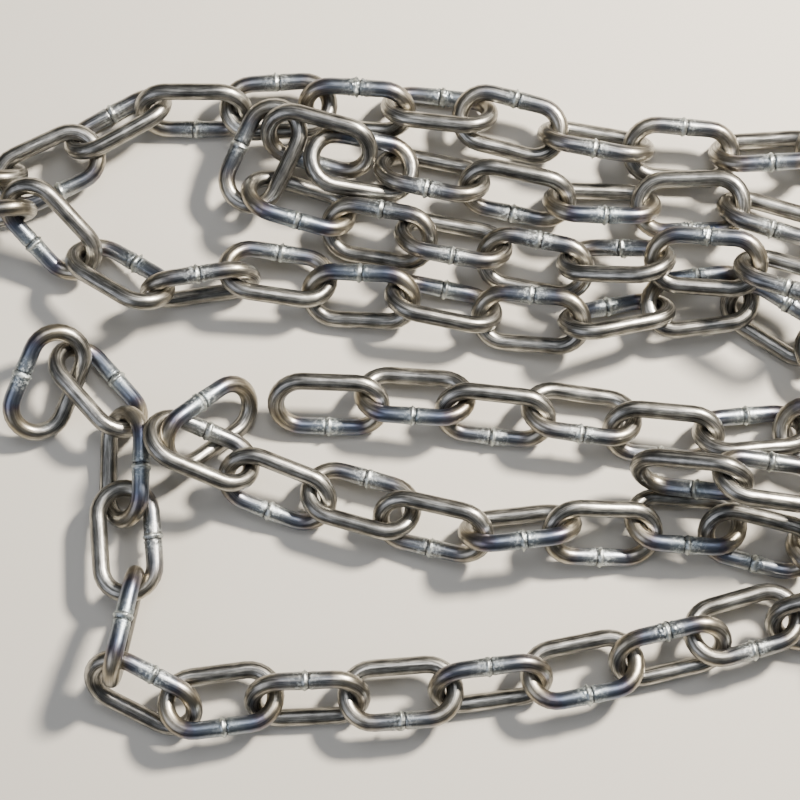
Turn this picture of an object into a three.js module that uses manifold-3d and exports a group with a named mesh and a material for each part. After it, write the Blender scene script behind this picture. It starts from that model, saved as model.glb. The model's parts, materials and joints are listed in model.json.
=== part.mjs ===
// A loose heap of welded long-link steel chain, lying on a level floor as it was dropped.
// Millimetres, +Z up, the floor at z = 0. +X runs along the rows of chain.
import * as THREE from "three";
import { mergeVertices } from "three/addons/utils/BufferGeometryUtils.js";
import Module from "manifold-3d";

// Driving dimensions of one link.
const WIRE = 8;
const PITCH = 44;
const WIDTH = 34;

// How a link is drawn: flats around the wire, and steps around its two round ends.
const WIRE_SIDES = 8;
const RING_STEPS = 12;

// Spacing of two wires that bear on each other, from wire centre to wire centre.
const SPACE_IN_PAIR = 7.5;
const SPACE_BETWEEN = 8.6;

const BEND = (WIDTH - WIRE) / 2;
const STRAIGHT = PITCH - (WIDTH - 2 * WIRE);

// The view that the route points were read in: a picture 800 points wide and high.
const VIEW_CENTRE = 400;
const VIEW_DISTANCE = 900;
const VIEW_ELEVATION = THREE.MathUtils.degToRad(78);
const POINTS_PER_MM = 2;

// Places where neighbouring links bear on each other, as [across, down, lift].
// Lift is how far the place is raised above where the chain would lie on the floor.
// Each link is [tilt in degrees, side of its weld, rise]. A positive tilt raises the far limb.
// Rise moves that link alone up or down. Places in `held` aren't lifted any further when
// the heap settles: they lie in a knot, where links bear on each other from both sides.
const FAR = 1;
const NEAR = -1;

const LOOPED_RUN = {
  name: "looped_run",
  joints: [
    [284, 397], [368, 400], [449, 405], [533, 413], [622, 425], [714, 434], [802, 426], [888, 442],
    [893, 360], [808, 371, 2],
    [746, 310, 6], [657, 311, 5], [567, 326], [483, 317], [399, 298], [318, 291], [235, 276],
    [154, 285], [82, 246], [30, 194, 16], [-58, 214, 3], [-84, 134], [2, 166],
    [88, 139], [158, 106], [241, 107, 3], [324, 103, 3], [403, 107], [481, 118], [565, 139],
    [652, 152], [738, 157], [822, 150], [908, 146], [992, 172],
    [980, 250], [893, 240], [808, 222, 4], [723, 200, 6], [634, 209], [547, 203], [467, 183],
    [391, 169, 5], [304, 158, 19],
  ],
  links: [
    [45, NEAR], [-30, NEAR], [48, NEAR], [-30, NEAR], [45, NEAR], [-40, FAR], [15, FAR], [80, FAR],
    [-5, NEAR],
    [58, FAR], [2, FAR], [-53, FAR], [35, FAR], [-41, FAR], [40, FAR], [-20, FAR], [82, FAR],
    [-39, FAR], [35, NEAR], [-80, NEAR], [10, FAR], [-60, NEAR], [12, NEAR],
    [-42, FAR], [66, NEAR], [0, FAR], [62, FAR], [-40, FAR], [14, FAR], [-53, NEAR],
    [30, FAR], [-45, NEAR], [50, NEAR], [-15, FAR], [70, FAR],
    [-15, NEAR], [60, NEAR], [-45, NEAR], [18, NEAR], [-45, NEAR], [55, NEAR], [-38, NEAR],
    [5, FAR],
  ],
  held: [8, 9, 10, 11, 24, 25, 26, 27, 42, 43],
};

const TANGLE_RUN = {
  name: "tangle_run",
  joints: [
    [360, 154, 12], [275, 121, 14], [245, 190, 4], [318, 204], [400, 226],
    [490, 246], [575, 263], [667, 267], [754, 268], [840, 290], [925, 316],
    [1005, 352], [1030, 436], [985, 496], [900, 502], [815, 492, 3], [734, 480, 9], [650, 473, 9],
  ],
  links: [
    [42, FAR], [10, NEAR, 6], [-30, NEAR, -4], [35, FAR],
    [-38, NEAR], [35, FAR], [-42, FAR], [35, FAR], [-45, NEAR], [50, FAR], [-10, NEAR],
    [75, FAR], [5, NEAR], [-60, FAR], [40, NEAR], [-35, FAR], [70, NEAR],
  ],
  held: [0, 1, 2, 3],
};

const FRONT_RUN = {
  name: "front_run",
  joints: [
    [238, 394, 2], [174, 429, 13], [247, 470], [317, 494], [388, 517], [468, 534], [556, 528],
    [645, 529], [729, 533], [803, 549], [885, 572], [968, 590], [1050, 612],
    [1022, 702], [940, 674], [887, 640], [797, 631], [707, 649], [616, 665], [528, 681],
    [436, 692], [350, 697], [260, 701], [184, 711], [114, 680], [122, 592], [126, 510],
    [127, 425], [73, 356, 8],
  ],
  links: [
    [38, FAR], [-40, FAR], [35, NEAR], [-20, FAR], [45, NEAR], [-55, NEAR], [35, NEAR],
    [-22, NEAR], [40, NEAR], [-35, NEAR], [45, FAR], [-15, NEAR], [75, FAR],
    [5, NEAR], [-55, FAR], [45, NEAR], [-12, NEAR], [46, FAR], [-14, NEAR], [55, FAR],
    [-8, NEAR], [52, FAR], [-10, NEAR], [42, FAR], [85, FAR], [5, FAR], [40, FAR],
    [-40, FAR],
  ],
};

const END_LINK_RUN = {
  name: "end_link",
  joints: [[62, 341, 8], [30, 426]],
  links: [[30, FAR]],
};

// Colours of the bare steel, one for each run.
const STEEL = {
  looped_run: 0x8f8a82,
  tangle_run: 0x9a958c,
  front_run: 0x86827c,
  end_link: 0x7c7872,
};

const MOST_SHIFT = 4;
const SETTLE_PASSES = 10;
const EASE_PASSES = 120;
const TURN_ARM = 18;
const UP = new THREE.Vector3(0, 0, 1);
const COARSE = [...Array(44).keys()].map((i) => i / 44);
const FINE = [...Array(13).keys()].map((i) => (i - 6) / 6 / 44);

const RUNS = [LOOPED_RUN, TANGLE_RUN, FRONT_RUN, END_LINK_RUN];
// Links of separate runs that are linked into each other, as [run, link] and [run, link].
const LINKED_ACROSS = [[[0, 42], [1, 0]], [[2, 27], [3, 0]]];

function jointPlace([across, down], height) {
  const eye = new THREE.Vector3(0, -Math.cos(VIEW_ELEVATION), Math.sin(VIEW_ELEVATION));
  eye.multiplyScalar(VIEW_DISTANCE);
  const up = new THREE.Vector3(0, Math.sin(VIEW_ELEVATION), Math.cos(VIEW_ELEVATION));
  const reach = VIEW_DISTANCE * POINTS_PER_MM;
  const ray = eye.clone().normalize().negate();
  ray.addScaledVector(new THREE.Vector3(1, 0, 0), (across - VIEW_CENTRE) / reach);
  ray.addScaledVector(up, (VIEW_CENTRE - down) / reach);
  return eye.addScaledVector(ray, (height - eye.z) / ray.z);
}

function restHeight(tilt) {
  return BEND * Math.sin(Math.abs(THREE.MathUtils.degToRad(tilt))) + WIRE / 2;
}

// The frame of a link that runs along `along`: its own X along it and its Y across its limbs.
function linkMatrix(centre, along, tilt) {
  const level = new THREE.Vector3(-along.y, along.x, 0).normalize();
  if (level.y + 0.2 * level.x < 0) level.negate();
  const side = new THREE.Vector3().crossVectors(along, level);
  const raised = side.z < 0 ? side.negate() : side;
  const angle = THREE.MathUtils.degToRad(tilt);
  const across = level.multiplyScalar(Math.cos(angle)).addScaledVector(raised, Math.sin(angle));
  const normal = new THREE.Vector3().crossVectors(along, across);
  return new THREE.Matrix4().makeBasis(along, across, normal).setPosition(centre);
}

// Points along the wire's centre line, for measuring how near two links are.
function wirePoints(count) {
  const points = [];
  for (let i = 0; i < count; i += 1) {
    const turn = (i / count) * 2 * Math.PI;
    const end = Math.sign(Math.cos(turn)) * (STRAIGHT / 2);
    points.push(new THREE.Vector3(end + BEND * Math.cos(turn), BEND * Math.sin(turn), 0));
  }
  for (let x = -STRAIGHT / 2; x <= STRAIGHT / 2; x += 2) {
    points.push(new THREE.Vector3(x, BEND, 0), new THREE.Vector3(x, -BEND, 0));
  }
  return points;
}

const WIRE_LINE = wirePoints(56);

function wireSpacing(one, other) {
  const ones = WIRE_LINE.map((p) => p.clone().applyMatrix4(one));
  const others = WIRE_LINE.map((p) => p.clone().applyMatrix4(other));
  let least = Infinity;
  for (const p of ones) for (const q of others) least = Math.min(least, p.distanceToSquared(q));
  return Math.sqrt(least);
}

// Moves a link along `pull` until its wire bears on the link before it.
function seat(matrix, before, pull, spacing) {
  const start = new THREE.Vector3().setFromMatrixPosition(matrix);
  let widest = 0;
  let best = start;
  for (let shift = 2; shift > -8; shift -= 0.1) {
    const place = start.clone().addScaledVector(pull, shift);
    const space = wireSpacing(matrix.setPosition(place), before);
    if (space >= spacing) return true;
    if (space > widest) {
      widest = space;
      best = place;
    }
  }
  matrix.setPosition(best);
  return false;
}

// Where a pull reaches the wire around a link's round end, measured from that end's centre.
function reachRound(matrix, pull) {
  const normal = new THREE.Vector3().setFromMatrixColumn(matrix, 2);
  return pull.clone().projectOnPlane(normal).setLength(BEND);
}

// Lays the links of a run one after another, each drawn towards its next place.
function layRun(run, lifts) {
  const heights = run.joints.map((joint, i) => {
    const near = [run.links[i - 1], run.links[i]].filter(Boolean).map(([tilt]) => restHeight(tilt));
    return near.reduce((sum, h) => sum + h, 0) / near.length + (joint[2] ?? 0) + lifts[i];
  });
  const places = run.joints.map((joint, i) => jointPlace(joint, heights[i]));
  const laid = [];
  let end = null;
  let before = null;
  run.links.forEach(([tilt, , rise = 0], i) => {
    const bearing = end ? end.clone().addScaledVector(before, BEND - WIRE / 2) : places[0];
    const along = places[i + 1].clone().sub(bearing);
    const slack = THREE.MathUtils.clamp((PITCH - along.length()) / 2, 0, 3);
    along.normalize();
    const pull = before ? before.clone().add(along).normalize() : along;
    const matrix = linkMatrix(bearing, along, tilt);
    const rear = end ? end.clone().add(reachRound(laid[i - 1], pull)).addScaledVector(pull, -WIRE)
      : bearing.clone().addScaledVector(along, -WIRE / 2);
    const middle = rear.add(reachRound(matrix, pull)).addScaledVector(along, STRAIGHT / 2);
    const across = new THREE.Vector3().setFromMatrixColumn(matrix, 1);
    let shift = -Math.sign(tilt) * Math.min(5 * Math.sin(Math.acos(1 - slack / 5)), MOST_SHIFT);
    if (before && before.dot(along) < 0.8) shift = 0;
    for (let tries = 0; tries < 4; tries += 1) {
      matrix.setPosition(middle.clone().addScaledVector(across, shift));
      if (i === 0 || seat(matrix, laid[i - 1], pull, i % 2 ? SPACE_IN_PAIR : SPACE_BETWEEN)) break;
      shift = tries < 2 ? shift * 0.6 : 0;
    }
    matrix.elements[14] += rise;
    laid.push(matrix);
    const centre = new THREE.Vector3().setFromMatrixPosition(matrix).addScaledVector(across, -shift);
    end = centre.addScaledVector(along, STRAIGHT / 2);
    before = along;
  });
  return laid;
}

function lowestPoint(matrix) {
  return Math.min(...WIRE_LINE.map((p) => p.clone().applyMatrix4(matrix).z)) - WIRE / 2;
}

// Lays every run, then raises the places where a link would sink into the floor, or into a
// link of another part of the heap that lies under it.
function settleHeap(runs) {
  const lifts = runs.map((run) => run.joints.map(() => 0));
  const raise = ({ run, i }, by) => {
    for (const joint of [i, i + 1]) {
      if (!runs[run].held?.includes(joint)) lifts[run][joint] += by;
    }
  };
  let laid = runs.map((run, r) => layRun(run, lifts[r]));
  const listed = () => laid.flatMap((all, run) => all.map((matrix, i) => ({ matrix, run, i })));
  for (let pass = 0; pass < SETTLE_PASSES; pass += 1) {
    const links = listed();
    links.forEach((link, n) => {
      const sunk = -lowestPoint(link.matrix);
      if (sunk > 0.05) raise(link, sunk / 2);
      for (const other of links.slice(n + 2)) {
        if (!mayTouch(link, other)) continue;
        const space = wireSpacing(link.matrix, other.matrix);
        if (space >= SPACE_BETWEEN - 0.15) continue;
        const upper = heightOf(link) > heightOf(other) ? link : other;
        raise(upper, (SPACE_BETWEEN + 0.1 - space) * 0.6);
      }
    });
    laid = runs.map((run, r) => layRun(run, lifts[r]));
  }
  easeApart(listed());
  return laid;
}

function heightOf({ matrix }) {
  return matrix.elements[14];
}

// Whether two links lie near each other, apart from separate runs that are linked together.
function mayTouch(one, other) {
  return !crossLinked(one, other) && farApart(one, other) < 70;
}

function crossLinked(one, other) {
  return LINKED_ACROSS.some(([a, b]) => sameLink(a, one) && sameLink(b, other));
}

function sameLink([run, i], link) {
  return run === link.run && i === link.i;
}

function farApart(one, other) {
  const [a, b] = [one.matrix.elements, other.matrix.elements];
  return Math.hypot(a[12] - b[12], a[13] - b[13], a[14] - b[14]);
}

// The nearest places of two wires' centre lines, found coarsely and then between the samples.
function nearest(one, other) {
  let best = { square: Infinity };
  const look = (turns, others) => {
    const from = turns.map((turn) => onWire(turn).applyMatrix4(one.matrix));
    const to = others.map((turn) => onWire(turn).applyMatrix4(other.matrix));
    from.forEach((p, i) => to.forEach((q, j) => {
      const square = p.distanceToSquared(q);
      if (square < best.square) best = { square, p, q, turn: turns[i], otherTurn: others[j] };
    }));
  };
  look(COARSE, COARSE);
  look(FINE.map((t) => best.turn + t), FINE.map((t) => best.otherTurn + t));
  return { space: Math.sqrt(best.square), p: best.p, q: best.q };
}

// A place on the wire's centre line, from 0 to 1 around it.
function onWire(turn) {
  const round = 2 * Math.PI * BEND;
  const total = round + 2 * STRAIGHT;
  const run = (((turn % 1) + 1) % 1) * total;
  const quarter = round / 4;
  if (run < quarter) return bendPoint(run / BEND, 1);
  if (run < quarter + STRAIGHT) return new THREE.Vector3(STRAIGHT / 2 - run + quarter, BEND, 0);
  if (run < 3 * quarter + STRAIGHT) return bendPoint((run - STRAIGHT) / BEND, -1);
  if (run < 3 * quarter + 2 * STRAIGHT) {
    return new THREE.Vector3(run - 3 * quarter - 1.5 * STRAIGHT, -BEND, 0);
  }
  return bendPoint((run - 2 * STRAIGHT) / BEND, 1);
}

function bendPoint(angle, end) {
  return new THREE.Vector3(
    (end * STRAIGHT) / 2 + BEND * Math.cos(angle),
    BEND * Math.sin(angle),
    0,
  );
}

// How readily a place on a link gives way along `toward`, counting its turning.
function giveAt(link, at, toward) {
  const arm = at.clone().sub(new THREE.Vector3().setFromMatrixPosition(link.matrix));
  return 1 + arm.cross(toward).lengthSq() / TURN_ARM ** 2;
}

function push(link, at, toward, by) {
  const centre = new THREE.Vector3().setFromMatrixPosition(link.matrix);
  const turn = at.clone().sub(centre).cross(toward).multiplyScalar(by / TURN_ARM ** 2);
  const angle = turn.length();
  const turned = new THREE.Matrix4();
  if (angle > 1e-9) turned.makeRotationAxis(turn.divideScalar(angle), angle);
  link.matrix.setPosition(0, 0, 0).premultiply(turned);
  link.matrix.setPosition(centre.addScaledVector(toward, by));
}

// Pushes wires apart, and draws linked ones together, until each just bears on the next.
function easeApart(links) {
  let pairs = [];
  for (let pass = 0; pass < EASE_PASSES; pass += 1) {
    if (pass % 20 === 0) {
      pairs = links.flatMap((one, n) => links.slice(n + 1).map((other) => [one, other]));
      pairs = pairs.filter(([one, other]) => farApart(one, other) < 66);
    }
    for (const [one, other] of pairs) {
      const next = one.run === other.run && other.i === one.i + 1;
      const fused = next && one.i % 2 === 0;
      const linked = next || crossLinked(one, other);
      const wanted = fused ? SPACE_IN_PAIR : SPACE_BETWEEN;
      const { space, p, q } = nearest(one, other);
      const loose = fused ? 0.1 : 0.5;
      if (space > wanted && !(linked && space > wanted + loose)) continue;
      const toward = q.clone().sub(p).normalize();
      const short = wanted + 0.05 - space;
      const share = short / (giveAt(one, p, toward) + giveAt(other, q, toward));
      push(one, p, toward, -share);
      push(other, q, toward, share);
    }
    for (const link of links) {
      const low = WIRE_LINE.map((p) => p.clone().applyMatrix4(link.matrix));
      const at = low.reduce((a, b) => (b.z < a.z ? b : a));
      const sunk = WIRE / 2 - at.z;
      if (sunk > 0) push(link, at, UP, sunk / giveAt(link, at, UP));
    }
  }
}

// One closed link: an eight-sided wire turned into a ring, then drawn out between its round ends.
function linkGeometry() {
  const wireRadius = (WIRE / 2) * Math.sqrt(Math.PI / (2 * Math.SQRT2));
  const ringRadius = BEND / Math.cos(Math.PI / RING_STEPS);
  const section = [];
  for (let i = 0; i <= WIRE_SIDES; i += 1) {
    const turn = ((i + 0.5) / WIRE_SIDES) * 2 * Math.PI;
    section.push(
      new THREE.Vector2(ringRadius + wireRadius * Math.cos(turn), wireRadius * Math.sin(turn)),
    );
  }
  const ring = new THREE.LatheGeometry(section, RING_STEPS, Math.PI / RING_STEPS);
  ring.rotateX(Math.PI / 2);
  const places = ring.getAttribute("position");
  for (let i = 0; i < places.count; i += 1) {
    places.setX(i, places.getX(i) + Math.sign(places.getX(i)) * (STRAIGHT / 2));
  }
  ring.deleteAttribute("normal");
  ring.deleteAttribute("uv");
  return mergeVertices(ring, 1e-3);
}

const wasm = await Module();
wasm.setup();

function linkSolid(geometry, matrix) {
  const placed = geometry.clone().applyMatrix4(matrix);
  const solid = new wasm.Manifold(
    new wasm.Mesh({
      numProp: 3,
      vertProperties: new Float32Array(placed.getAttribute("position").array),
      triVerts: new Uint32Array(placed.index.array),
    }),
  );
  return solid;
}

function pairMesh(name, solids, colour) {
  const joined = solids.length > 1 ? solids[0].add(solids[1]) : solids[0];
  const { vertProperties, triVerts } = joined.getMesh();
  const geometry = new THREE.BufferGeometry();
  geometry.setAttribute("position", new THREE.BufferAttribute(vertProperties, 3));
  geometry.setIndex(new THREE.BufferAttribute(triVerts, 1));
  geometry.computeVertexNormals();
  const material = new THREE.MeshStandardMaterial({
    color: colour,
    roughness: 0.38,
    metalness: 1,
  });
  const mesh = new THREE.Mesh(geometry, material);
  mesh.name = name;
  return mesh;
}

function buildHeap() {
  const heap = new THREE.Group();
  heap.name = "heap_of_link_chain";
  const link = linkGeometry();
  settleHeap(RUNS).forEach((laid, r) => {
    const { name } = RUNS[r];
    const solids = laid.map((matrix) => linkSolid(link, matrix));
    for (let i = 0; i < solids.length; i += 2) {
      const label = String(i / 2 + 1).padStart(2, "0");
      heap.add(pairMesh(`${name}_${label}`, solids.slice(i, i + 2), STEEL[name]));
    }
  });
  const box = new THREE.Box3().setFromObject(heap);
  const middle = box.getCenter(new THREE.Vector3());
  heap.position.set(-middle.x, -middle.y, -box.min.z);
  return heap;
}

export default buildHeap();
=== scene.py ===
"""A heap of bare welded steel link chain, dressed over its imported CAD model.

Every link is placed by matching one plain link to the vertices of the CAD nodes, each of
which holds one link or two neighbouring ones. Geometry Nodes then sets a finely turned link on
each place.
"""
import json
import math

import bpy
import numpy as np
from mathutils import Matrix, Vector

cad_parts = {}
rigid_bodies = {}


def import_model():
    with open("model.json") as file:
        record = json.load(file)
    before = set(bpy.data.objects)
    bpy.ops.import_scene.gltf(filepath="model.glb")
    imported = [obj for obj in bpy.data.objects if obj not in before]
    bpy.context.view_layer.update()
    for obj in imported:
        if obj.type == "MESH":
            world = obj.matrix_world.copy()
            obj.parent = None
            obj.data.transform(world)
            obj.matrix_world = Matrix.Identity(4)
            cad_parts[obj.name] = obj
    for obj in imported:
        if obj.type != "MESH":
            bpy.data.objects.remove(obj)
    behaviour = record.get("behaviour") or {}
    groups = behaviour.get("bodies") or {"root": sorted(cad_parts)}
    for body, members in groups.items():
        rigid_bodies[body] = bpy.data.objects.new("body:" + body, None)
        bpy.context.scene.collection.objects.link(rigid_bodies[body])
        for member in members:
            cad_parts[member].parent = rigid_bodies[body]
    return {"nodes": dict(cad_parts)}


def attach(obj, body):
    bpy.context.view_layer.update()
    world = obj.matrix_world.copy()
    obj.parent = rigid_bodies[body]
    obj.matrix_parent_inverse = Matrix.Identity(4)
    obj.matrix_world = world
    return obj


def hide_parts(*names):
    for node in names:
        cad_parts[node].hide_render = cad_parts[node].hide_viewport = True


for item in list(bpy.data.objects):
    bpy.data.objects.remove(item)
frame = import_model()

bl_info = {
    "name": "Heap of link chain",
    "version": (1, 0, 0),
    "blender": (4, 5, 0),
    "location": "View3D > Sidebar > Chain",
    "description": "Builds a heap of welded steel link chain and the stage it lies on",
    "category": "Object",
}

MM = 0.001

# One link, as the CAD part has it, in millimetres.
WIRE = 8.0
PITCH = 44.0
WIDTH = 34.0
BEND = (WIDTH - WIRE) / 2
STRAIGHT = PITCH - (WIDTH - 2 * WIRE)
# Faces round the CAD wire, and rings of vertices round the CAD link.
CAD_SIDES = 8
CAD_STEPS = 12

# The plain link is drawn onto a node's vertices in steps. At each, only the vertices
# nearer than this many millimetres pull on it.
FIT_REACHES = (9, 7, 5, 4, 3, 2, 1.5, 1, 0.6, 0.3, 0.1, 0.05)
FIT_ROUNDS = 3
FEWEST_MATCHES = 12
# Vertices nearer than this, in millimetres, are the same one.
SAME_PLACE = 0.05
# Shares of the plain link's vertices found in the node: enough to stop, and the least.
# The wire of the other link hides a few.
SURE_SHARE = 0.9
LEAST_SHARE = 0.7

# The limb of each link that carries its weld, in the order the chain runs: F is the far
# limb as the camera looks, N the near one.
WELDS = {
    "looped_run": "NNNNNFFFNFFFFFFFFFNNFNNFNFFFFNFNNFFNNNNNNNF",
    "tangle_run": "FNNFNFFFNFNFNFNFN",
    "front_run": "FFNFNNNNNNFNFNFNNFNFNFNFFFFF",
    "end_link": "F",
}

# The weld, in millimetres along the welded limb from its middle.
BEAD_AT = 0.5
GROOVE_AT = -1.3
WELDED_REACH = 9.0
# Rings of the drawn link lie this close, in millimetres, beside the weld.
WELD_STEP = 0.4
WELD_RINGS = 16

# Starts the random numbers that set each link's own finish.
SEED = 11

# The photograph's camera: its picture centre on the floor, in the row frame.
VIEW_CENTRE = (-31.85, 0.85, 0.58)
VIEW_DISTANCE = 900.0
VIEW_ELEVATION = 78.0
VIEW_FOCAL_MM = 81.0
SENSOR_MM = 36.0

# Half the floor's side, in metres.
FLOOR_HALF = 4


def colour(code):
    """Linear colour from an sRGB hex code."""
    shares = [int(code[i : i + 2], 16) / 255 for i in (1, 3, 5)]
    linear = [c / 12.92 if c <= 0.04045 else ((c + 0.055) / 1.055) ** 2.4 for c in shares]
    return (*linear, 1.0)


# Where the links are.


def cad_link():
    """Vertices of one CAD link about its own centre: X along it, Y across its limbs."""
    # The eight-sided wire has the area of the round one, and the bends' straight steps
    # touch the round bend at their middles.
    wire = WIRE / 2 * math.sqrt(math.pi / (2 * math.sqrt(2)))
    ring = BEND / math.cos(math.pi / CAD_STEPS)
    points = []
    for step in range(CAD_STEPS):
        around = (step + 0.5) / CAD_STEPS * 2 * math.pi
        for side in range(CAD_SIDES):
            turn = (side + 0.5) / CAD_SIDES * 2 * math.pi
            reach = ring + wire * math.cos(turn)
            x, y = reach * math.sin(around), reach * math.cos(around)
            points.append((x + math.copysign(STRAIGHT / 2, x), y, wire * math.sin(turn)))
    return np.array(points)


def distances(points, cloud):
    """How far each point is from each vertex of the cloud."""
    return np.linalg.norm(points[:, None] - cloud[None], axis=2)


def fitted(template, cloud, turn, place):
    """Turns and moves the template onto the cloud's vertices; returns the fit and its share of hits."""
    for reach in FIT_REACHES:
        for _ in range(FIT_ROUNDS):
            far = distances(template @ turn.T + place, cloud)
            near = far.argmin(1)
            hit = far.min(1) < reach
            if hit.sum() < FEWEST_MATCHES:
                return turn, place, 0.0
            a, b = template[hit], cloud[near[hit]]
            ca, cb = a.mean(0), b.mean(0)
            u, _, vt = np.linalg.svd((a - ca).T @ (b - cb))
            flip = np.diag([1, 1, np.sign(np.linalg.det(vt.T @ u.T))])
            turn = vt.T @ flip @ u.T
            place = cb - turn @ ca
    far = distances(template @ turn.T + place, cloud).min(1)
    return turn, place, float((far < SAME_PLACE).mean())


def link_starts(cloud):
    """First guesses at a link, as its length's direction and its centre, the likeliest first."""
    middle = cloud.mean(0)
    axis = np.linalg.svd(cloud - middle)[2][0]
    level = (cloud - middle) @ axis
    for part in (cloud, cloud[level < 2], cloud[level > -2]):
        centre = part.mean(0)
        for along in np.linalg.svd(part - centre)[2][:2]:
            yield along, centre
    # Two links that cross near their middles take a search all round.
    for shift in (0, -10, 10):
        for heading in range(0, 180, 15):
            for climb in (0, -15, 15):
                swing, rise = math.radians(heading), math.radians(climb)
                flat = math.cos(rise)
                along = np.array([math.cos(swing) * flat, math.sin(swing) * flat, math.sin(rise)])
                yield along, middle + shift * along


def one_link(cloud, template):
    """The best match of the plain link among the cloud's vertices."""
    tried = []
    for along, centre in link_starts(cloud):
        side = np.cross(along, (0, 0, 1))
        side /= np.linalg.norm(side)
        lift = np.cross(side, along)
        for degrees in range(-90, 90, 15):
            angle = math.radians(degrees)
            across = side * math.cos(angle) + lift * math.sin(angle)
            turn = np.column_stack([along, across, np.cross(along, across)])
            tried.append(fitted(template, cloud, turn, centre))
            if tried[-1][2] > SURE_SHARE:
                return tried[-1]
    return max(tried, key=lambda fit: fit[2])


def links_in(cloud, count, template):
    """The places of the links, one or two, whose vertices a CAD node holds."""
    found = []
    for _ in range(count):
        turn, place, share = one_link(cloud, template)
        if share < LEAST_SHARE:
            raise RuntimeError("a CAD node holds no link where one was looked for")
        found.append((turn, place))
        cloud = cloud[distances(cloud, template @ turn.T + place).min(1) > SAME_PLACE]
    return found


def run_links(run):
    """Every link of a run in order, as (turn, place in mm), read from the CAD nodes."""
    template = cad_link()
    names = sorted(n for n in frame["nodes"] if n.startswith(run + "_"))
    total = len(WELDS[run])
    pairs = []
    for i, name in enumerate(names):
        mesh = frame["nodes"][name].data
        cloud = np.zeros(len(mesh.vertices) * 3)
        mesh.vertices.foreach_get("co", cloud)
        cloud = np.unique(np.round(cloud.reshape(-1, 3) / MM, 3), axis=0)
        pairs.append(links_in(cloud, min(2, total - 2 * i), template))
    # Of a pair, the link nearer to the next node comes second. In the last pair, the link
    # nearer to the node before comes first.
    for i, pair in enumerate(pairs):
        if len(pair) < 2:
            continue
        last = i + 1 == len(pairs)
        other = pairs[i - 1] if last else pairs[i + 1]
        target = np.mean([place for _, place in other], axis=0)
        pair.sort(key=lambda link: np.linalg.norm(link[1] - target), reverse=not last)
    return [link for pair in pairs for link in pair]


# One finely turned link.


def half_rings(settings):
    """Distances along the wire from the weld to the middle of the other limb, in mm."""
    bend = math.pi * BEND
    near = [i * WELD_STEP for i in range(WELD_RINGS)]
    limb = list(np.linspace(near[-1], STRAIGHT / 2, 5))[1:]
    steps = settings.bend_steps
    round_end = [STRAIGHT / 2 + bend * i / steps for i in range(1, steps + 1)]
    back = list(np.linspace(round_end[-1], round_end[-1] + STRAIGHT / 2, 3))[1:]
    return near + limb + round_end + back


def wire_place(run):
    """Centre of the wire and its outward direction, `run` mm along from the weld."""
    sign, run = (-1 if run < 0 else 1), abs(run)
    bend = math.pi * BEND
    if run <= STRAIGHT / 2:
        return (sign * run, BEND), (0.0, 1.0)
    if run < STRAIGHT / 2 + bend:
        a = (run - STRAIGHT / 2) / BEND
        out = (sign * math.sin(a), math.cos(a))
        return (sign * STRAIGHT / 2 + BEND * out[0], BEND * out[1]), out
    return (sign * (STRAIGHT + bend - run), -BEND), (0.0, -1.0)


def link_mesh(settings):
    """One link's mesh in metres, with the attributes its finish is drawn from."""
    half = half_rings(settings)
    rings = [-r for r in reversed(half[1:-1])] + half
    sides = settings.wire_sides
    radius = settings.wire_diameter / MM / 2
    gaps, sections, places = [], [], []
    for run in rings:
        (cx, cy), (ox, oy) = wire_place(run)
        for side in range(sides):
            turn = side / sides * 2 * math.pi
            reach, rise = radius * math.cos(turn), radius * math.sin(turn)
            gaps.append(abs(run))
            sections.append((reach, rise, 0.0))
            places.append((cx + ox * reach, cy + oy * reach, rise))
    faces = []
    for i in range(len(rings)):
        a, b = i * sides, (i + 1) % len(rings) * sides
        for side in range(sides):
            after = (side + 1) % sides
            faces.append((a + side, a + after, b + after, b + side))
    mesh = bpy.data.meshes.new("link")
    mesh.from_pydata([[v * MM for v in place] for place in places], [], faces)
    mesh.shade_smooth()
    mesh.attributes.new("weld_gap", "FLOAT", "POINT").data.foreach_set("value", gaps)
    for name, values in (("wire_section", sections), ("link_place", places)):
        data = mesh.attributes.new(name, "FLOAT_VECTOR", "POINT").data
        data.foreach_set("vector", np.array(values).ravel())
    mesh.update()
    return mesh


# Small helpers for node trees.


def node(tree, kind, inputs=(), **settings):
    """Adds a node, sets its properties and fills its inputs with values or links."""
    made = tree.nodes.new(kind)
    for key, value in settings.items():
        setattr(made, key, value)
    for key, value in dict(inputs).items():
        socket = made.inputs[key]
        if isinstance(value, bpy.types.NodeSocket):
            tree.links.new(value, socket)
        else:
            socket.default_value = value
    return made


def math_of(tree, operation, *values):
    """A Math node's result."""
    kind = "ShaderNodeMath"
    return node(tree, kind, dict(enumerate(values)), operation=operation).outputs[0]


def product(tree, *values):
    """The values multiplied together."""
    result = values[0]
    for value in values[1:]:
        result = math_of(tree, "MULTIPLY", result, value)
    return result


def bell(tree, value, middle, width):
    """1 where the value is at `middle`, falling to 0 over a few widths."""
    away = math_of(tree, "DIVIDE", math_of(tree, "SUBTRACT", value, middle), width)
    return math_of(tree, "EXPONENT", product(tree, math_of(tree, "POWER", away, 2.0), -1.0))


def noise(tree, vector, scale, detail, roughness=0.5):
    """A noise texture's grey value."""
    inputs = {"Vector": vector, "Scale": scale, "Detail": detail, "Roughness": roughness}
    return node(tree, "ShaderNodeTexNoise", inputs).outputs["Fac"]


def moved(tree, vector, *shifts):
    """A vector moved by an amount along each axis given."""
    apart = node(tree, "ShaderNodeCombineXYZ", dict(enumerate(shifts))).outputs[0]
    return node(tree, "ShaderNodeVectorMath", {0: vector, 1: apart}, operation="ADD").outputs[0]


def parts_of(tree, vector):
    """The three outputs of a vector's parts."""
    return node(tree, "ShaderNodeSeparateXYZ", {0: vector}).outputs


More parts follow.
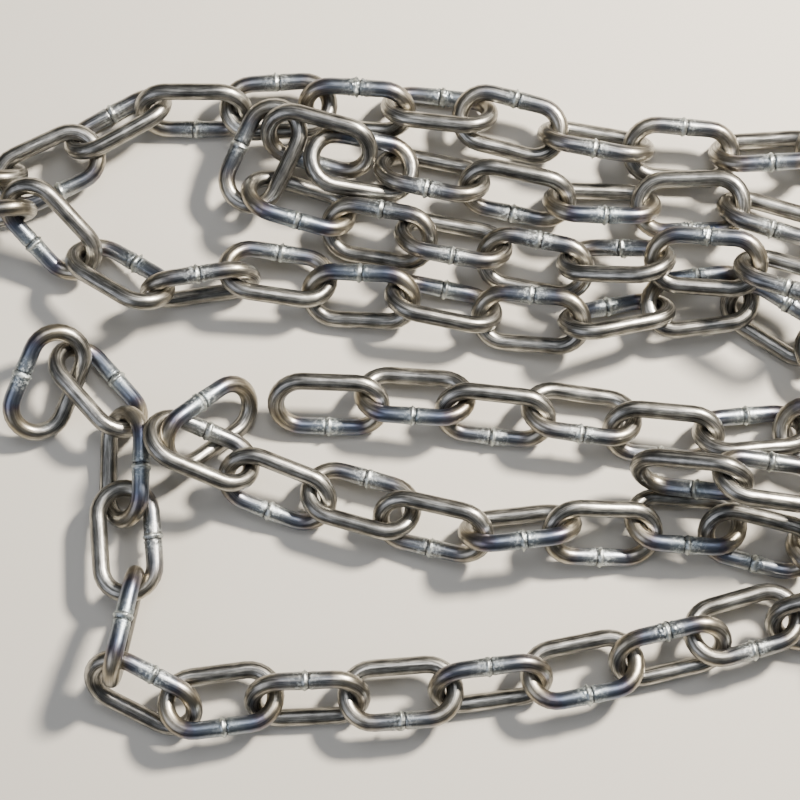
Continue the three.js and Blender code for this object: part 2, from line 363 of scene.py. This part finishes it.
def read(tree, name, data_type="FLOAT"):
    """A named attribute in a Geometry Nodes tree."""
    made = node(tree, "GeometryNodeInputNamedAttribute", {"Name": name}, data_type=data_type)
    return made.outputs["Attribute"]


def links_tree():
    """Sets a link on every point, raises the weld on it and gives it its steel."""
    tree = bpy.data.node_groups.new("Chain links", "GeometryNodeTree")
    face = tree.interface
    for name, kind, default in (
        ("Geometry", "NodeSocketGeometry", None),
        ("Link", "NodeSocketObject", None),
        ("Bead height", "NodeSocketFloat", 0.0006),
        ("Bead width", "NodeSocketFloat", 0.7),
        ("Groove depth", "NodeSocketFloat", 0.0005),
        ("Upset height", "NodeSocketFloat", 0.00025),
        ("Flash height", "NodeSocketFloat", 0.0007),
        ("Seed", "NodeSocketFloat", 4.0),
        ("Steel", "NodeSocketMaterial", None),
    ):
        socket = face.new_socket(name, in_out="INPUT", socket_type=kind)
        if default is not None:
            socket.default_value = default
    face.new_socket("Geometry", in_out="OUTPUT", socket_type="NodeSocketGeometry")
    given = node(tree, "NodeGroupInput").outputs
    link = node(tree, "GeometryNodeObjectInfo", {"Object": given["Link"]}, transform_space="ORIGINAL")
    placed = node(
        tree,
        "GeometryNodeInstanceOnPoints",
        {
            "Points": given["Geometry"],
            "Instance": link.outputs["Geometry"],
            "Rotation": read(tree, "turn", "QUATERNION"),
        },
    )
    real = node(tree, "GeometryNodeRealizeInstances", {"Geometry": placed.outputs[0]})
    gap = read(tree, "weld_gap")
    seed = read(tree, "link_seed")
    place = read(tree, "link_place", "FLOAT_VECTOR")
    along = parts_of(tree, place)[0]
    shift = math_of(tree, "MULTIPLY_ADD", seed, 91.0, given["Seed"])
    lumps = noise(tree, moved(tree, place, shift, shift), 0.6, 4.0)

    # The bead, the groove pressed beside it and the limb upset by the press.
    uneven = math_of(tree, "MULTIPLY_ADD", math_of(tree, "SUBTRACT", lumps, 0.5), 3.2, 0.9)
    welded = math_of(tree, "LESS_THAN", gap, WELDED_REACH)
    bead = bell(tree, along, BEAD_AT, given["Bead width"])
    ridge = product(tree, bead, welded, uneven, given["Bead height"])
    groove = product(tree, bell(tree, along, GROOVE_AT, 0.45), welded, given["Groove depth"])
    upset = product(tree, bell(tree, gap, 0.0, 5.5), given["Upset height"])
    # A few welds were left with tall splashes of flash.
    splash = math_of(tree, "MULTIPLY_ADD", math_of(tree, "POWER", seed, 6.0), 2.2, 0.35)
    spikes = math_of(tree, "MAXIMUM", math_of(tree, "SUBTRACT", lumps, 0.56), -0.05)
    tall = math_of(tree, "MULTIPLY", given["Flash height"], 5.0)
    flash = product(tree, spikes, splash, bell(tree, gap, 0.0, 4.0), tall)
    rise = math_of(tree, "SUBTRACT", math_of(tree, "ADD", ridge, upset), groove)
    rise = math_of(tree, "ADD", rise, flash)
    outwards = node(tree, "GeometryNodeInputNormal").outputs[0]
    push = node(tree, "ShaderNodeVectorMath", {0: outwards, "Scale": rise}, operation="SCALE").outputs[0]
    raised = node(tree, "GeometryNodeSetPosition", {"Geometry": real.outputs[0], "Offset": push})

    # A weld on the underside is pressed flat by the floor.
    now = node(tree, "GeometryNodeInputPosition").outputs[0]
    lowest = (-FLOOR_HALF, -FLOOR_HALF, 0)
    level = node(tree, "ShaderNodeVectorMath", {0: now, 1: lowest}, operation="MAXIMUM").outputs[0]
    pressed = node(tree, "GeometryNodeSetPosition", {"Geometry": raised.outputs[0], "Position": level})
    finish = {"Geometry": pressed.outputs[0], "Material": given["Steel"]}
    steel = node(tree, "GeometryNodeSetMaterial", finish)
    node(tree, "NodeGroupOutput", {"Geometry": steel.outputs[0]})
    return tree


# Materials.


def new_material(name):
    """A material with its node tree and its shader."""
    material = bpy.data.materials.new(name)
    material.use_nodes = True
    tree = material.node_tree
    return material, tree, tree.nodes["Principled BSDF"]


def attribute(tree, name, output):
    """A named attribute in a material."""
    return node(tree, "ShaderNodeAttribute", attribute_name=name).outputs[output]


def ramp(tree, value, stops):
    """A colour ramp over `value`, from (place, colour or grey) stops."""
    made = node(tree, "ShaderNodeValToRGB", {0: value})
    band = made.color_ramp
    while len(band.elements) < len(stops):
        band.elements.new(1.0)
    for element, (at, shade) in zip(band.elements, stops):
        element.position = at
        element.color = shade if isinstance(shade, tuple) else (shade, shade, shade, 1.0)
    return made.outputs[0]


def mixed(tree, factor, a, b):
    """Colour a turning into colour b. The sockets are the Mix node's colour ones."""
    return node(tree, "ShaderNodeMix", {0: factor, 6: a, 7: b}, data_type="RGBA").outputs[2]


def steel_material(settings):
    """Drawn mild steel wire, bent cold and resistance welded: bright and streaked along the
    wire, with pale scale on the welded limb, blue tint beyond it and straw on the round ends."""
    material, tree, shader = new_material("Drawn mild steel, welded")
    gap = attribute(tree, "weld_gap", "Fac")
    seed = attribute(tree, "link_seed", "Fac")
    section = attribute(tree, "wire_section", "Vector")
    place = attribute(tree, "link_place", "Vector")

    # Each link takes its own part of every texture.
    shift = math_of(tree, "MULTIPLY", seed, 57.0)
    spot = moved(tree, place, shift, shift, shift)
    across, up, _ = parts_of(tree, section)
    lengthways = math_of(tree, "MULTIPLY_ADD", gap, 0.05, shift)
    drawn = node(tree, "ShaderNodeCombineXYZ", {0: across, 1: up, 2: lengthways}).outputs[0]
    along = parts_of(tree, place)[0]

    streak = noise(tree, drawn, 1.4, 6.0, 0.65)
    broad = noise(tree, spot, 0.1, 3.0)
    patch = noise(tree, spot, 0.32, 4.0, 0.6)
    fine = noise(tree, spot, 0.9, 5.0, 0.7)

    steel = ramp(
        tree,
        math_of(tree, "ADD", product(tree, streak, 0.65), product(tree, broad, 0.35)),
        [
            (0.36, colour(settings.dark_steel)),
            (0.5, colour(settings.mid_steel)),
            (0.62, colour(settings.pale_steel)),
        ],
    )
    # The heat reached further on some links than on others, and it ends in a ragged edge.
    second = math_of(tree, "FRACT", product(tree, seed, 7.31))
    wander = math_of(tree, "MULTIPLY_ADD", broad, 12.0, product(tree, patch, 7.0))
    heat = math_of(tree, "SUBTRACT", math_of(tree, "ADD", gap, wander), 9.5)
    heat = math_of(tree, "DIVIDE", heat, math_of(tree, "MULTIPLY_ADD", second, 12.0, 30.0))
    tint = ramp(
        tree,
        heat,
        [
            (0.0, colour(settings.scale_tint)),
            (0.2, colour("#7C8592")),
            (0.34, colour(settings.blue_tint)),
            (0.44, colour("#5B5566")),
            (0.54, colour("#837B71")),
            (0.68, colour(settings.straw_tint)),
            (1.0, colour("#A39E94")),
        ],
    )
    amount = ramp(tree, heat, [(0.0, 0.95), (0.4, 0.85), (0.6, 0.65), (0.8, 0.35), (1.0, 0.0)])
    third = math_of(tree, "FRACT", product(tree, seed, 3.77))
    strength = math_of(tree, "MULTIPLY_ADD", third, 0.65, 0.35)
    shade = mixed(tree, product(tree, amount, strength), steel, tint)

    # Pale and dark flakes of scale on both sides of the weld.
    scaled = ramp(tree, math_of(tree, "DIVIDE", gap, 20.0), [(0.14, 1.0), (0.5, 0.0)])
    fourth = math_of(tree, "FRACT", product(tree, seed, 11.9))
    scaled = product(tree, scaled, math_of(tree, "MULTIPLY_ADD", fourth, 0.7, 0.3))
    flakes = ramp(tree, noise(tree, spot, 0.55, 4.0, 0.65), [(0.49, 0.0), (0.56, 1.0)])
    broken = ramp(tree, fine, [(0.42, 0.15), (0.52, 1.0)])
    pale = product(tree, flakes, scaled, broken)
    dark = product(tree, ramp(tree, fine, [(0.36, 1.0), (0.46, 0.0)]), scaled)
    shade = mixed(tree, product(tree, dark, 0.7), shade, colour("#3B3E42"))
    shade = mixed(tree, product(tree, pale, 0.85), shade, colour("#DDE5E6"))

    # The raised bead, pale with scale and a painted highlight, and beside it a dark line of painted
    # shade in the groove.
    welded = math_of(tree, "LESS_THAN", gap, WELDED_REACH)
    ragged = math_of(tree, "ADD", along, math_of(tree, "MULTIPLY_ADD", fine, 1.6, -0.8))
    bead = product(tree, bell(tree, ragged, BEAD_AT, 0.8), welded, 0.9)
    painted_groove_shade = product(tree, bell(tree, ragged, GROOVE_AT, 0.4), welded, 0.95)
    # The bead is coloured pale: partly its scale, partly a painted highlight on the ridge.
    shade = mixed(tree, bead, shade, colour("#C6CBC8"))
    # Painted shade: the groove beside the bead is coloured near black.
    shade = mixed(tree, painted_groove_shade, shade, colour("#232427"))
    tree.links.new(shade, shader.inputs["Base Color"])

    # Scale and the groove are duller than the drawn metal.
    matt = math_of(tree, "MAXIMUM", pale, product(tree, painted_groove_shade, 0.8))
    tree.links.new(math_of(tree, "MULTIPLY_ADD", matt, -0.35, 1.0), shader.inputs["Metallic"])
    rough = math_of(tree, "MULTIPLY_ADD", streak, 0.24, settings.steel_roughness - 0.12)
    rough = math_of(tree, "ADD", rough, product(tree, scaled, 0.08))
    tree.links.new(math_of(tree, "MULTIPLY_ADD", matt, 0.14, rough), shader.inputs["Roughness"])

    height = math_of(tree, "ADD", product(tree, fine, scaled, 5.0), streak)
    height = math_of(tree, "ADD", height, product(tree, patch, 0.6))
    bump = node(tree, "ShaderNodeBump", {"Strength": 0.6, "Distance": 0.00007, "Height": height})
    tree.links.new(bump.outputs["Normal"], shader.inputs["Normal"])
    return material


def floor_material(settings):
    """Plain pale matt floor."""
    material, _, shader = new_material("Pale floor")
    shader.inputs["Base Color"].default_value = colour(settings.floor_colour)
    shader.inputs["Roughness"].default_value = 0.85
    return material


# Settings.


def length(name, description, default):
    """A setting in metres."""
    return bpy.props.FloatProperty(
        name=name, description=description, default=default, unit="LENGTH", subtype="DISTANCE"
    )


def text_colour(name, description, default):
    """A setting that holds an sRGB hex code."""
    return bpy.props.StringProperty(name=name, description=description, default=default)


class ChainSettings(bpy.types.PropertyGroup):
    """The heap's sizes, steel and colours"""

    # Between nodes the CAD's 8.0 mm wires lie a little apart. Drawn thicker, they nearly touch.
    wire_diameter: length("Wire diameter", "Thickness of the wire", 0.0084)
    bead_height: length("Bead height", "Height of the weld's ridge", 0.0006)
    wire_sides: bpy.props.IntProperty(name="Wire sides", description="Faces round the wire", default=30)
    bend_steps: bpy.props.IntProperty(name="Bend steps", description="Steps round each bend", default=13)
    steel_roughness: bpy.props.FloatProperty(
        name="Roughness", description="Roughness of the drawn steel", default=0.34, subtype="FACTOR"
    )
    dark_steel: text_colour("Dark steel", "Colour in the streaks", "#4F4E4B")
    mid_steel: text_colour("Steel", "Colour of the drawn wire", "#878580")
    pale_steel: text_colour("Pale steel", "Colour of the rubbed wire", "#C9C6BE")
    scale_tint: text_colour("Scale", "Colour beside the weld", "#8E999F")
    blue_tint: text_colour("Blue tint", "Colour of the hottest tint", "#626C82")
    straw_tint: text_colour("Straw tint", "Colour at the edge of the heat", "#B6A98E")
    floor_colour: text_colour("Floor", "Colour of the floor", "#CFCAC0")


# Operators.


def points_mesh(run, links):
    """One point for each link, with its turn and a number of its own."""
    turns, places = [], []
    for (turn, place), side in zip(links, WELDS[run]):
        # The template's weld is on its +Y limb. A link that runs straight away from the
        # camera has its right limb counted as the far one.
        across = turn[:, 1]
        far = across[1] + 0.2 * across[0] > 0
        if far != (side == "F"):
            turn = turn @ np.diag([-1, -1, 1])
        turns.append(tuple(Matrix(turn.tolist()).to_quaternion()))
        places.append([float(v) * MM for v in place])
    mesh = bpy.data.meshes.new(run + " places")
    mesh.from_pydata(places, [], [])
    mesh.attributes.new("turn", "QUATERNION", "POINT").data.foreach_set("value", np.array(turns).ravel())
    number = np.random.default_rng(SEED + len(links)).random(len(links))
    mesh.attributes.new("link_seed", "FLOAT", "POINT").data.foreach_set("value", number)
    return mesh


class CHAIN_OT_links(bpy.types.Operator):
    """Builds every length of chain from finely turned links"""

    bl_idname = "chain.links"
    bl_label = "Chain links"

    def execute(self, context):
        settings = context.scene.chain_heap
        link = bpy.data.objects.new("link", link_mesh(settings))
        steel = steel_material(settings)
        tree = links_tree()
        items = tree.interface.items_tree
        sockets = {item.name: item.identifier for item in items if item.in_out == "INPUT"}
        for run in WELDS:
            holder = bpy.data.objects.new(run + " links", points_mesh(run, run_links(run)))
            context.scene.collection.objects.link(holder)
            modifier = holder.modifiers.new("Links", "NODES")
            modifier.node_group = tree
            modifier[sockets["Link"]] = link
            modifier[sockets["Bead height"]] = settings.bead_height
            modifier[sockets["Steel"]] = steel
            context.view_layer.update()
            evaluated = holder.evaluated_get(context.evaluated_depsgraph_get())
            mesh = bpy.data.meshes.new_from_object(evaluated)
            piece = bpy.data.objects.new(run, mesh)
            context.scene.collection.objects.link(piece)
            bpy.data.objects.remove(holder)
            if len(mesh.polygons) == 0:
                raise RuntimeError("no links were made for " + run)
            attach(piece, "root")
            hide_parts(*[n for n in frame["nodes"] if n.startswith(run + "_")])
        bpy.data.objects.remove(link)
        return {"FINISHED"}


def area_light(name, place, size, power, tone):
    """A round soft light at `place`, in metres, turned to the middle of the heap."""
    light = bpy.data.lights.new(name, "AREA")
    light.shape = "DISK"
    light.size = size
    light.energy = power
    light.color = colour(tone)[:3]
    made = bpy.data.objects.new(name, light)
    made.location = place
    made.rotation_euler = (-Vector(place)).to_track_quat("-Z", "Y").to_euler()
    bpy.context.scene.collection.objects.link(made)


class CHAIN_OT_stage(bpy.types.Operator):
    """Adds the floor, the soft light and the camera"""

    bl_idname = "chain.stage"
    bl_label = "Stage"

    def execute(self, context):
        settings = context.scene.chain_heap
        mesh = bpy.data.meshes.new("floor")
        edge = FLOOR_HALF
        corners = [(-edge, -edge, 0), (edge, -edge, 0), (edge, edge, 0), (-edge, edge, 0)]
        mesh.from_pydata(corners, [], [(0, 1, 2, 3)])
        floor = bpy.data.objects.new("floor", mesh)
        mesh.materials.append(floor_material(settings))
        context.scene.collection.objects.link(floor)

        world = bpy.data.worlds.new("Soft sky")
        world.use_nodes = True
        tree = world.node_tree
        sky = tree.nodes["Background"]
        direction = node(tree, "ShaderNodeTexCoord").outputs["Generated"]
        height = parts_of(tree, direction)[2]
        stops = [(0.0, colour("#66686A")), (0.35, colour("#6C7074")), (0.8, colour("#DDE4EB"))]
        tree.links.new(ramp(tree, height, stops), sky.inputs["Color"])
        sky.inputs["Strength"].default_value = 0.3
        context.scene.world = world
        area_light("Key", (0.75, 0.55, 0.95), 0.2, 68.0, "#FFF6E8")
        area_light("Top", (0.1, 0.35, 1.5), 0.7, 6.0, "#F4F7FF")
        area_light("Fill", (-0.9, -0.5, 0.8), 0.9, 4.0, "#EAF0FF")

        centre = Vector(VIEW_CENTRE) * MM
        angle = math.radians(VIEW_ELEVATION)
        camera = bpy.data.cameras.new("Camera")
        camera.sensor_width = SENSOR_MM
        camera.lens = VIEW_FOCAL_MM
        camera.clip_start = 0.01
        made = bpy.data.objects.new("Camera", camera)
        made.location = centre + Vector((0, -math.cos(angle), math.sin(angle))) * VIEW_DISTANCE * MM
        made.rotation_euler = (centre - made.location).to_track_quat("-Z", "Y").to_euler()
        context.scene.collection.objects.link(made)
        context.scene.camera = made
        return {"FINISHED"}


class CHAIN_PT_panel(bpy.types.Panel):
    """Lists the steps that build the heap"""

    bl_idname = "CHAIN_PT_panel"
    bl_label = "Heap of link chain"
    bl_space_type = "VIEW_3D"
    bl_region_type = "UI"
    bl_category = "Chain"

    def draw(self, context):
        column = self.layout.column()
        settings = context.scene.chain_heap
        for name in ChainSettings.__annotations__:
            column.prop(settings, name)
        column.operator("chain.links")
        column.operator("chain.stage")


CLASSES = (ChainSettings, CHAIN_OT_links, CHAIN_OT_stage, CHAIN_PT_panel)


def register():
    """Adds the classes and the scene's settings."""
    for cls in CLASSES:
        bpy.utils.register_class(cls)
    bpy.types.Scene.chain_heap = bpy.props.PointerProperty(type=ChainSettings)


def unregister():
    """Takes the settings and the classes away again."""
    del bpy.types.Scene.chain_heap
    for cls in reversed(CLASSES):
        bpy.utils.unregister_class(cls)


def main():
    """Builds the heap and its stage."""
    register()
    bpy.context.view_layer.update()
    bpy.ops.chain.links()
    bpy.ops.chain.stage()


if __name__ == "__main__":
    main()
